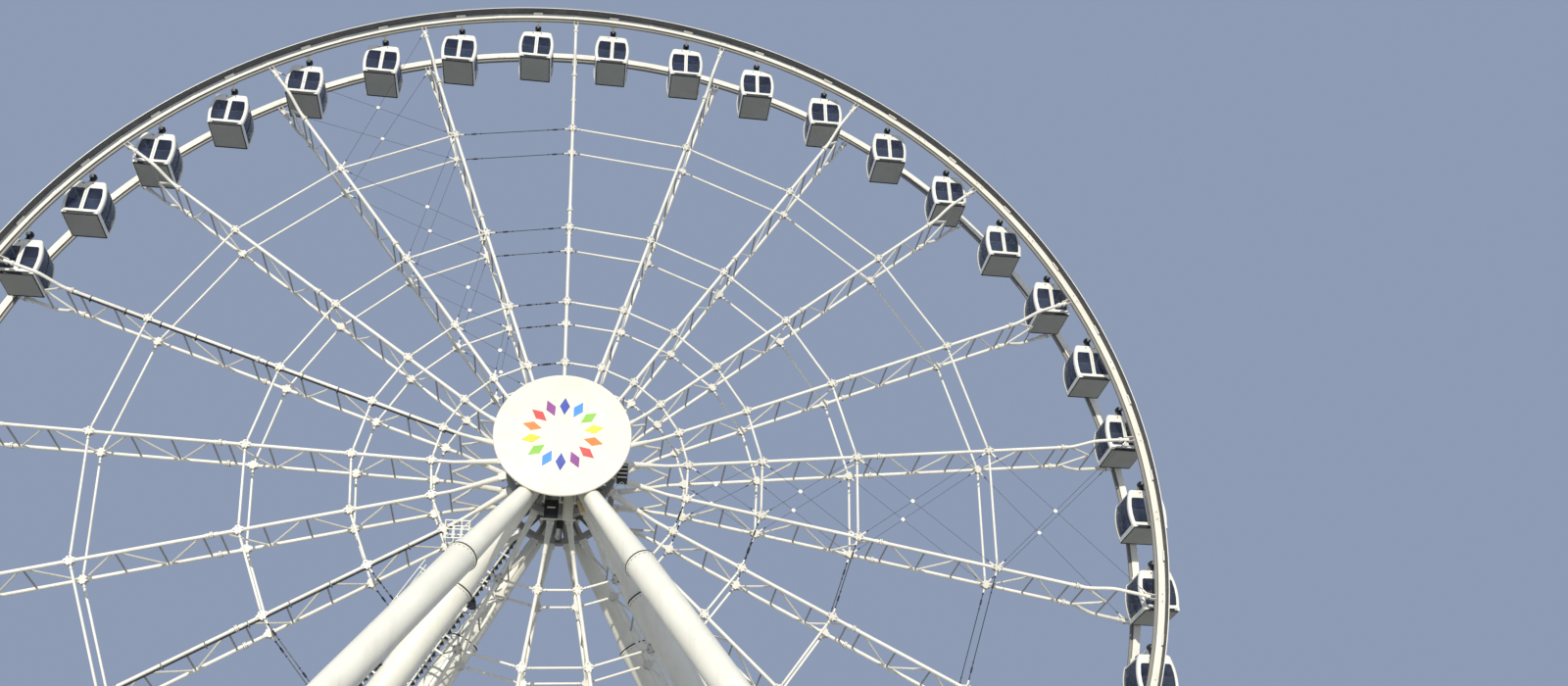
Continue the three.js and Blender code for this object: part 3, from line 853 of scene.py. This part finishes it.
class WHEEL_OT_cabins(bpy.types.Operator):
    """Builds every cabin with its shell, glass and hanger"""

    bl_idname = "wheel.cabins"
    bl_label = "Cabins"

    def execute(self, context):
        sizes = context.scene.cabin_sizes
        parts = (
            ("shell", self.shell(sizes), ["cabin_coat", "underside_coat", "dark_steel"], "cabin_paint"),
            ("glass", self.panes(sizes), ["cabin_glass"], None),
            ("fittings", self.fittings(sizes), ["dark_steel", "bench_cover", "spoke_coat"], None),
        )
        for joint in frame["record"]["behaviour"]["joints"]:
            name = joint["child"]
            if not name.startswith("cabin"):
                continue
            place = Matrix.Translation(Vector(joint["pos_m"])) @ Matrix.Scale(MODEL_SCALE, 4)
            for part, template, finishes, slot in parts:
                mesh = template.copy()
                mesh.name = f"{name}_{part}"
                mesh.transform(place)
                hang(mesh, mesh.name, finishes, name, [name] if part == "shell" else ())
        for _, template, _, _ in parts:
            bpy.data.meshes.remove(template)
        return {"FINISHED"}

    def half_width(self, sizes, z):
        """Half the width of a cabin at a height: two parabolas that meet at the waist."""
        waist = -sizes.waist_drop
        if z > waist:
            share = (z - waist) / (waist + sizes.roof_drop)
            return sizes.waist_half - (sizes.waist_half - sizes.shoulder_half) * share * share
        share = (waist - z) / (sizes.floor_drop + waist)
        return sizes.waist_half - (sizes.waist_half - sizes.floor_half) * share * share

    def side(self, sizes, low, high, steps, inset):
        """Points up the side of a cabin between two heights, drawn in by an inset."""
        heights = [low + (high - low) * i / steps for i in range(steps + 1)]
        return [(self.half_width(sizes, z) - inset, z) for z in heights]

    def shoulder(self, sizes, inset):
        """Rounded corner from the side up to the flat roof, drawn in by an inset."""
        roof, steps = -sizes.roof_drop, 5
        start = Vector((self.half_width(sizes, roof - 0.16) - inset, roof - 0.16))
        turn = Vector((sizes.shoulder_half + 0.015 - inset, roof - inset))
        end = Vector((sizes.roof_half - inset, roof - inset))
        shares = [i / steps for i in range(steps + 1)]
        return [
            tuple(start * (1 - t) ** 2 + turn * 2 * t * (1 - t) + end * t * t) for t in shares
        ]

    def shell(self, sizes):
        bm = bmesh.new()
        floor, half = -sizes.floor_drop, sizes.depth / 2
        add_copies(bm, self.end(sizes), [Matrix(), Matrix.Rotation(math.pi, 4, "Z")])
        roof = self.shoulder(sizes, 0.012)
        self.skin(bm, roof + mirrored(roof), half - 0.05, 0.05)
        skirt = self.side(sizes, floor + 0.02, floor + 0.2, 2, 0.008)
        for strip in (skirt, mirrored(skirt)):
            self.skin(bm, strip, half - 0.05, 0.045)
        tray = 2 * sizes.floor_half
        block(bm, (0, 0, floor + 0.05), (tray - 0.04, 2 * half - 0.04, 0.06), 2)
        # The grey underside panel, darkened as painted shade.
        block(bm, (0, 0, floor + 0.014), (tray - 0.14, 2 * half - 0.2, 0.03), 1)
        # Dark strips along the front and back edges of the underside: painted shade where the bumpers'
        # undersides lie in shadow.
        for y in (-1, 1):
            block(bm, (0, y * (half - 0.05), floor + 0.01), (tray - 0.1, 0.07, 0.03), 2)
        block(bm, (0.04, 0.1, -sizes.roof_drop + 0.06), (0.66, 0.84, 0.16), bevel=0.05)
        for y in (-0.2, 0.0, 0.2):
            block(bm, (0.04, y + 0.1, -sizes.roof_drop + 0.138), (0.5, 0.1, 0.02), 2)
        settle(bm, Matrix())
        return as_mesh(bm, "cabin_shell")

    def outline(self, sizes, inset):
        """Closed outline of an end, drawn in by an inset, with a notch between its two feet."""
        low = inset - sizes.floor_drop
        foot = [(0.66 - inset, low + 0.13), (0.69 - inset, low + 0.02)]
        high = -sizes.roof_drop - 0.25
        right = foot + self.side(sizes, low + 0.02, high, 8, inset) + self.shoulder(sizes, inset)
        return right + mirrored(right)

    def end(self, sizes):
        """One end wall: two windows in a flat face whose edge is rounded back to the sides."""
        bm = bmesh.new()
        half, round_in = sizes.depth / 2, 0.115
        section = ((round_in, 0), (0.06, 0.012), (0.02, 0.045), (0, 0.1), (0, 0.17), (round_in, 0.17))
        rings = [
            loop(bm, self.outline(sizes, inset), Matrix.Translation((0, back - half, 0)))
            for inset, back in section
        ]
        for i in range(len(rings)):
            bmesh.ops.bridge_loops(bm, edges=rings[i - 1] + rings[i])
        low, high, mullion = 0.29 - sizes.floor_drop, -0.43 - sizes.roof_drop, 0.09
        edge = self.side(sizes, low + 0.05, high - 0.07, 3, sizes.post)
        window = [
            (mullion, low + 0.03), (mullion + 0.03, low), (edge[0][0] - 0.05, low), *edge,
            (edge[-1][0] - 0.07, high), (mullion + 0.03, high), (mullion, high - 0.03),
        ]
        holes = (window, mirrored(window))
        panel(bm, self.outline(sizes, round_in), holes, 0.09, Matrix.Translation((0, -half, 0)))
        self.trim(bm, sizes)
        return as_mesh(bm, "cabin_end")

    def trim(self, bm, sizes):
        """Bars, feet, lamps and the door seam of the front end."""
        face = -sizes.depth / 2
        floor, roof, wide = -sizes.floor_drop, -sizes.roof_drop, sizes.floor_half
        block(bm, (0, face - 0.015, floor + 0.17), (2 * wide - 0.02, 0.06, 0.1), bevel=0.02)
        for x in (-1, 1):
            block(bm, (x * (wide - 0.06), face - 0.01, floor + 0.08), (0.12, 0.06, 0.12), bevel=0.02)
        for x in (-0.24, 0.2):
            bar(bm, (x, face, roof - 0.17), (x, face - 0.02, roof - 0.17), 0.03, 8, 2)
        block(bm, (0, face, (floor + roof) / 2), (0.012, 0.01, 1.4), 2)

    def skin(self, bm, points, half, thickness):
        """A curved panel that runs from the front end to the back end."""
        verts = [bm.verts.new((x, -half, z)) for x, z in points]
        edges = [bm.edges.new(pair) for pair in zip(verts, verts[1:])]
        grown = bmesh.ops.extrude_edge_only(bm, edges=edges)["geom"]
        bmesh.ops.translate(bm, vec=(0, 2 * half, 0), verts=only(BMVert, grown))
        faces = only(BMFace, grown)
        bmesh.ops.recalc_face_normals(bm, faces=faces)
        bmesh.ops.solidify(bm, geom=faces, thickness=thickness)

    def panes(self, sizes):
        bm = bmesh.new()
        half = sizes.depth / 2
        floor, roof = -sizes.floor_drop, -sizes.roof_drop
        side = self.side(sizes, floor + 0.14, roof - 0.2, 7, 0.03)
        self.skin(bm, side, half - 0.06, 0.02)
        self.skin(bm, mirrored(side), half - 0.06, 0.02)
        outer = self.side(sizes, floor + 0.22, roof - 0.35, 5, 0.09)
        outline = outer + mirrored(outer)
        for y in (-half + 0.035, half - 0.055):
            panel(bm, outline, (), 0.02, Matrix.Translation((0, y, 0)))
        settle(bm, Matrix())
        return as_mesh(bm, "cabin_glass")

    def fittings(self, sizes):
        """Hanger brackets and axle above the roof, benches and rails inside."""
        bm = bmesh.new()
        floor, roof = -sizes.floor_drop, -sizes.roof_drop
        right = [
            (0.16, roof), (0.15, roof + 0.06), (0.085, roof + 0.12), (0.08, -0.13), (0.16, -0.04),
            (0.16, 0.07), (0.08, 0.13),
        ]
        outline = right + mirrored(right)
        slot = [(-0.03, roof + 0.09), (0.03, roof + 0.09), (0.03, -0.12), (-0.03, -0.12)]
        for y in (-0.8, 0.6):
            panel(bm, outline, [slot], 0.2, Matrix.Translation((0, y, 0)))
        block(bm, (0, 0, roof + 0.01), (0.42, 1.68, 0.05), bevel=0.01)
        bar(bm, (0, -1.385, 0), (0, 1.385, 0), 0.055, 12, 2)
        seam = self.side(sizes, floor + 0.19, roof - 0.23, 7, 0.012)
        for line in (seam, mirrored(seam)):
            self.skin(bm, line, 0.02, 0.02)
        for side in (-1, 1):
            bar(bm, (0, side * 1.2, 0), (0, side * 1.385, 0), 0.11, 14)
            block(bm, (0, side * 0.54, floor + 0.45), (1.6, 0.44, 0.08), 1, bevel=0.03)
            lean = Matrix.Rotation(-side * 0.12, 4, "X")
            block(bm, (0, side * 0.77, floor + 0.7), (1.56, 0.06, 0.54), 1, lean, 0.025)
            block(bm, (0, side * 0.62, floor + 0.27), (1.4, 0.32, 0.3))
            wall, rail = side * 0.81, floor + 0.62
            bar(bm, (wall, -0.79, rail), (wall, 0.79, rail), 0.022, 8, 2)
            bar(bm, (-0.77, wall, floor + 0.99), (0.77, wall, floor + 0.99), 0.032, 8, 2)
        block(bm, (0, 0, floor + 0.11), (1.45, 1.78, 0.03))
        settle(bm, Matrix())
        return as_mesh(bm, "cabin_fittings")


# Axis of a leg: its distance from the wheel's plane at the hub's height, and its run sideways
# and outwards for each unit down. BEAM_TOP is the top of the ground frame.
UPRIGHT = (2.85, (0.561, 0.034))
BRACED = (2.45, (0.518, 0.6))
BEAM_TOP = GROUND + 0.4


def leg_point(leg, side_x, side_y, drop):
    """The point on a leg's axis that far below the hub."""
    apex, slope = leg
    return Vector((side_x * slope[0] * drop, side_y * (apex + slope[1] * drop), -drop))


def leg_frame(leg, side_x, side_y):
    """Unit vectors along a leg and square to it, sideways and outwards."""
    along = (leg_point(leg, side_x, side_y, 1) - leg_point(leg, side_x, side_y, 0)).normalized()
    outward = square_to(along, Vector((0, side_y, 0)))
    return along, along.cross(outward), outward


def square_to(along, way):
    """The direction nearest to a given one that is square to a line."""
    return (way - along * way.dot(along)).normalized()


class WHEEL_OT_stand(bpy.types.Operator):
    """Builds the heads, the tubular legs and their shoes"""

    bl_idname = "wheel.stand"
    bl_label = "Stand"

    def execute(self, context):
        sizes = context.scene.stand_sizes
        for side_y, end in ((FRONT, "front"), (BACK, "back")):
            legs = [UPRIGHT] if side_y == BACK else [UPRIGHT, BRACED]
            self.head(sizes, side_y, legs, end)
            for leg in legs:
                for side_x, side in ((-1, "left"), (1, "right")):
                    node = f"outrigger_{side}" if leg is BRACED else f"{end}_leg_{side}"
                    self.leg(sizes, leg, side_x, side_y, node)
        return {"FINISHED"}

    def head(self, sizes, side_y, legs, end):
        bm = bmesh.new()
        profile = [
            (0.56, 2.21), (1.06, 2.21), (1.06, 2.33), (0.98, 2.33), (0.98, 3.28), (1.06, 3.28),
            (1.06, 3.4), (0.56, 3.4),
        ]
        turned(bm, profile, AXLE_SIDES, side_y)
        for leg in legs:
            for side_x in (-1, 1):
                self.cone(bm, sizes, leg, side_x, side_y)
        finishes = ["leg_coat", "dark_steel", "bolt_steel"]
        make_piece(bm, end + "_head_drum", finishes, "stand", [end + "_head"])

    def cone(self, bm, sizes, leg, side_x, side_y):
        """The tapered top of a leg down to its bolted ring."""
        joint = leg_point(leg, side_x, side_y, sizes.flange_drop)
        along = leg_frame(leg, side_x, side_y)[0]
        top = leg_point(leg, side_x, side_y, 0)
        reach = (joint - top).length
        stops = [(0.0, 0.22), (0.985, 0.55)]
        if leg is BRACED:
            stops = [
                (0.0, 0.2), (0.37, 0.2), (0.371, 0.24), (0.377, 0.3), (0.388, 0.34), (0.405, 0.37),
                (0.44, 0.39), (0.985, 0.55),
            ]
        for (start, wide), (end, wider) in zip(stops, stops[1:]):
            low, high = top + along * reach * start, top + along * (reach * end + 0.002)
            bar(bm, low, high, wide, sizes.tube_sides, end_radius=wider)
        rings = (
            (0.11, 0.06, sizes.flange_radius - 0.01, sizes.tube_sides, 0),
            (0.06, 0, sizes.flange_radius + 0.01, sizes.tube_sides, 1),
        )
        bars_along(bm, joint, -along, rings)
        self.bolts(bm, leg, side_x, side_y, joint - along * 0.11, -along)

    def bolts(self, bm, leg, side_x, side_y, centre, out):
        """Bolt heads round a leg's ring."""
        heads, ring = 20, 0.618
        _, across, outward = leg_frame(leg, side_x, side_y)
        for i in range(heads):
            angle = i * math.tau / heads
            spot = centre + (across * math.cos(angle) + outward * math.sin(angle)) * ring
            bar(bm, spot, spot + out * 0.03, 0.014, 6, 2)

    def leg(self, sizes, leg, side_x, side_y, node):
        """A leg's tube below its joint, cut level above its shoe, with rings round it."""
        bm = bmesh.new()
        along = leg_frame(leg, side_x, side_y)[0]
        joint = leg_point(leg, side_x, side_y, sizes.flange_drop)
        foot = leg_point(leg, side_x, side_y, -GROUND)
        bar(bm, joint + along * 0.05, foot, sizes.leg_radius, sizes.tube_sides)
        cut = bmesh.ops.bisect_plane(
            bm, geom=bm.verts[:] + bm.edges[:] + bm.faces[:], plane_co=(0, 0, BEAM_TOP + 0.06),
            plane_no=(0, 0, 1), clear_inner=True, clear_outer=False,
        )
        bmesh.ops.edgeloop_fill(bm, edges=only(BMEdge, cut["geom_cut"]))
        bar(bm, joint, joint + along * 0.08, sizes.flange_radius, sizes.tube_sides)
        self.bolts(bm, leg, side_x, side_y, joint + along * 0.08, along)
        span, lengths = (foot - joint).length, 6
        for i in range(1, lengths):
            spot = joint + along * span * i / lengths
            bar(bm, spot, spot + along * 0.05, sizes.leg_radius + 0.008, sizes.tube_sides)
        self.shoe(bm, leg_point(leg, side_x, side_y, -BEAM_TOP))
        finishes = ["leg_coat", "zinc", "bolt_steel"]
        make_piece(bm, node + "_tube", finishes, "stand", [node])

    def shoe(self, bm, foot):
        """Base plate with ribs and anchor bolts on the ground frame."""
        block(bm, foot + Vector((0, 0, 0.035)), (2.1, 2.1, 0.06), 1, bevel=0.015)
        for x in (-0.88, 0.88):
            for y in (-0.88, 0.88):
                spot = foot + Vector((x, y, 0.06))
                bar(bm, spot, spot + Vector((0, 0, 0.14)), 0.05, 6, 2)
        for i in range(4):
            turn = Matrix.Rotation(i * math.pi / 2 + math.pi / 4, 4, "Z")
            rib = [(0.3, 0.05), (1.02, 0.05), (0.62, 0.75), (0.3, 0.75)]
            panel(bm, rib, (), 0.05, Matrix.Translation(foot) @ turn)


class WHEEL_OT_disc(bpy.types.Operator):
    """Builds the white disc in front of the hub with its ring of coloured diamonds"""

    bl_idname = "wheel.disc"
    bl_label = "Disc"

    def execute(self, context):
        sizes = context.scene.stand_sizes
        self.disc(sizes)
        self.diamonds(sizes)
        return {"FINISHED"}

    def disc(self, sizes):
        """Dished sheet on a drum, with arms and a latticed hoop behind it."""
        front, radius = sizes.disc_front, sizes.disc_radius
        sheet = [
            (0.001, front), (radius - 0.03, front), (radius, front - 0.03), (radius, front - 0.08),
            (radius - 0.05, front - 0.1), (1.05, front - 0.1), (1.05, 3.42), (0.001, 3.42),
        ]
        bm = bmesh.new()
        turned(bm, sheet, DISC_SIDES, FRONT)
        make_piece(bm, "disc_sheet", ["disc_coat"], "stand", ["front_disc"])
        bm = bmesh.new()
        near, far = (radius - 0.12, 0.14 - front), (radius - 0.2, 0.36 - front)
        tube, facets, braces, arms = 0.035, 8, 36, 12
        for reach, y in (near, far):
            corners = [i * math.tau / facets for i in range(facets)]
            section = [(reach + tube * math.cos(a), y + tube * math.sin(a)) for a in corners]
            turned(bm, section, HOOP_SIDES)
        for k in range(braces):
            start = on_wheel(near[0], k * math.tau / braces, near[1])
            for step in (-0.5, 0.5):
                bar(bm, start, on_wheel(far[0], (k + step) * math.tau / braces, far[1]), 0.018, 6)
        for k in range(arms):
            turn = about_axle((k + 0.5) * math.tau / arms)
            middle = turn @ Vector((0, far[1], (radius + 0.84) / 2))
            block(bm, middle, (0.07, 0.07, radius - 1.25), turn=turn)
        # The hoop takes the hub's dark grey, which paints the shade behind the disc.
        make_piece(bm, "disc_hoop", ["hub_coat"], "stand")

    def diamonds(self, sizes):
        shades = (
            ("blue", (0.012, 0.045, 0.38)), ("sky", (0.03, 0.26, 0.68)), ("lime", (0.23, 0.55, 0.04)),
            ("yellow", (0.72, 0.62, 0.03)), ("orange", (0.78, 0.2, 0.02)), ("red", (0.62, 0.04, 0.04)),
            ("plum", (0.25, 0.03, 0.26)),
        )
        middle, long, wide = 1.35, 0.425, 0.22
        outline = [(0, middle - long), (wide, middle), (0, middle + long), (-wide, middle)]
        place = Matrix.Translation((0, -sizes.disc_front - 0.01, 0))
        for i, (shade, tone) in enumerate(shades):
            bm = bmesh.new()
            for k in (i, i + len(shades)):
                turn = about_axle(k * math.tau / (2 * len(shades)))
                panel(bm, outline, (), 0.012, turn @ place)
            name = shade + "_diamonds"
            if name not in bpy.data.materials:
                coat(name, tone, (0.6, 0.58, 0.5), 0.12, 0.45)
            make_piece(bm, name, [name], "stand")


class WHEEL_OT_access(bpy.types.Operator):
    """Builds the ladders on the left legs, the service cage and the boxes under the hub"""

    bl_idname = "wheel.access"
    bl_label = "Access and cabinets"

    def execute(self, context):
        self.ladders()
        self.cabinets()
        self.cage()
        return {"FINISHED"}

    def ladders(self):
        """Steep stairs with handrails along the upper side of both left legs."""
        bm = bmesh.new()
        for side_y, drop in ((FRONT, 6.4), (BACK, 1.3)):
            self.stair(bm, side_y, drop)
        make_piece(bm, "leg_ladders", ["leg_coat", "dark_steel"], "stand")

    def stair(self, bm, side_y, drop):
        """Two stringers with rails, treads and posts, and a landing part of the way down."""
        along = leg_frame(UPRIGHT, -1, side_y)[0]
        up = square_to(along, Vector((-1, 0, 0)))
        clear, rail_height, tread_gap, post_gap = 0.86, 0.95, 0.3, 1.5
        top = leg_point(UPRIGHT, -1, side_y, drop) + up * clear
        span = (leg_point(UPRIGHT, -1, side_y, -BEAM_TOP - 0.4) + up * clear - top).length
        wide = Vector((0, 0.27, 0))
        for side in (-wide, wide):
            bar(bm, top + side, top + side + along * span, 0.045)
            rail = top + side + up * rail_height
            bar(bm, rail, rail + along * span, 0.024)
        for i in range(int(span / tread_gap)):
            block(bm, top + along * (i * tread_gap + 0.1), (0.2, 0.54, 0.035), 1)
        for i in range(int(span / post_gap)):
            spot = top + along * (i * post_gap + 0.4)
            for side in (-wide, wide):
                bar(bm, spot + side, spot + side + up * rail_height, 0.022, 6)
                bar(bm, spot + side - up * 0.3, spot + side, 0.035, 6)
        hatch = top + along * 4.7
        block(bm, hatch + up * 0.1, (0.9, 0.95, 0.08), 1)
        for side in (-1.6, 1.6):
            bar(bm, hatch + wide * side, hatch + wide * side + up * 1.05, 0.04, 6)

    def cabinets(self):
        """Switch boxes, a duct and a chute in front of the hub, and a louvred box on an arm beside it."""
        bm = bmesh.new()
        front = -2.5
        block(bm, (-0.28, front, -2.64), (0.6, 0.5, 0.75), bevel=0.02)
        block(bm, (-0.28, front - 0.26, -2.64), (0.34, 0.03, 0.06), 1, bevel=0.01)
        block(bm, (0.43, front + 0.05, -2.3), (0.44, 0.16, 1.48), 1, bevel=0.02)
        for x in (0.3, 0.56):
            block(bm, (x, front - 0.05, -2.3), (0.03, 0.06, 1.48), 1)
        block(bm, (0.12, front + 0.1, -3.6), (0.27, 0.34, 0.95), bevel=0.03)
        lean = Matrix.Rotation(-0.35, 4, "Y")
        block(bm, (1.0, front, -2.43), (0.26, 0.2, 0.62), 2, lean, 0.02)
        block(bm, (1.12, front - 0.1, -2.3), (0.3, 0.16, 0.1), turn=lean)
        self.hangers(bm, front)
        self.louvres(bm, Vector((2.68, front, -0.72)))
        make_piece(bm, "hub_cabinets", ["dark_steel", "leg_coat", "cream_coat"], "stand")

    def hangers(self, bm, front):
        """Open frame that hangs the boxes from the head."""
        for x in (-0.62, 0.06, 0.7):
            block(bm, (x, front, -1.55), (0.07, 0.07, 1.5), 1)
        for z in (-1.1, -2.24, -3.06):
            block(bm, (0.04, front + 0.02, z), (1.5, 0.06, 0.07), 1)

    def louvres(self, bm, centre):
        """The louvred box with its arms to the hub's middle and its stays."""
        block(bm, centre, (0.46, 0.5, 0.8), bevel=0.02)
        for i in range(4):
            block(bm, centre + Vector((0, -0.26, -0.3 + 0.2 * i)), (0.4, 0.05, 0.05), 1, bevel=0.01)
        for z in (-0.45, -1.0):
            bar(bm, (0.9, centre.y, z * 0.6), (centre.x - 0.2, centre.y, z), 0.045, 8, 1)
        for x, z in ((2.2, -1.6), (2.95, -1.45)):
            bar(bm, (centre.x, centre.y, -1.1), (x, centre.y + 0.1, z), 0.03, 6, 1)

    def cage(self):
        """White lattice cage on an arm from the left leg."""
        bm = bmesh.new()
        left, right, high, low, near, far = -4.6, -3.6, -3.5, -4.3, -2.85, -2.3
        columns, rows = 3, 2
        for y in (near, far):
            for i in range(columns + 1):
                x = left + (right - left) * i / columns
                bar(bm, (x, y, low), (x, y, high), 0.03, 6)
            for i in range(rows + 1):
                z = low + (high - low) * i / rows
                bar(bm, (left, y, z), (right, y, z), 0.03, 6)
        for x in (left, right):
            for z in (low, high):
                bar(bm, (x, near, z), (x, far, z), 0.03, 6)
        for y in (near + 0.05, far - 0.05):
            bar(bm, (right, y, low + 0.1), (-2.45, y - 0.4, low), 0.05)
        make_piece(bm, "service_cage", ["leg_coat"], "stand")


class WHEEL_OT_base(bpy.types.Operator):
    """Gives the ground frame its finish"""

    bl_idname = "wheel.base"
    bl_label = "Ground frame"

    def execute(self, context):
        node = frame["nodes"]["base_frame"]
        node.data.materials.clear()
        node.data.materials.append(finish("zinc"))
        return {"FINISHED"}


class WHEEL_PT_panel(bpy.types.Panel):
    """Lists the steps that build the wheel"""

    bl_label = "Ferris Wheel"
    bl_idname = "WHEEL_PT_panel"
    bl_space_type = "VIEW_3D"
    bl_region_type = "UI"
    bl_category = "Ferris Wheel"

    def draw(self, context):
        for step in STEPS:
            self.layout.operator(step.bl_idname)
        for group in ("wheel_sizes", "cabin_sizes", "stand_sizes", "wheel_finishes"):
            settings = getattr(context.scene, group)
            for name in settings.bl_rna.properties.keys():
                if name not in ("name", "rna_type"):
                    self.layout.prop(settings, name)


STEPS = (
    WHEEL_OT_stage, WHEEL_OT_rims, WHEEL_OT_spokes, WHEEL_OT_ties, WHEEL_OT_hub, WHEEL_OT_cabins,
    WHEEL_OT_stand, WHEEL_OT_disc, WHEEL_OT_access, WHEEL_OT_base,
)
GROUPS = {
    "wheel_sizes": WheelSizes,
    "cabin_sizes": CabinSizes,
    "stand_sizes": StandSizes,
    "wheel_finishes": Finishes,
}


def register():
    for item in (*GROUPS.values(), *STEPS, WHEEL_PT_panel):
        bpy.utils.register_class(item)
    for name, group in GROUPS.items():
        setattr(bpy.types.Scene, name, PointerProperty(type=group))


def unregister():
    for name in GROUPS:
        delattr(bpy.types.Scene, name)
    for item in reversed((*GROUPS.values(), *STEPS, WHEEL_PT_panel)):
        bpy.utils.unregister_class(item)


def main():
    register()
    for step in STEPS:
        group, name = step.bl_idname.split(".")
        getattr(getattr(bpy.ops, group), name)()


if __name__ == "__main__":
    main()
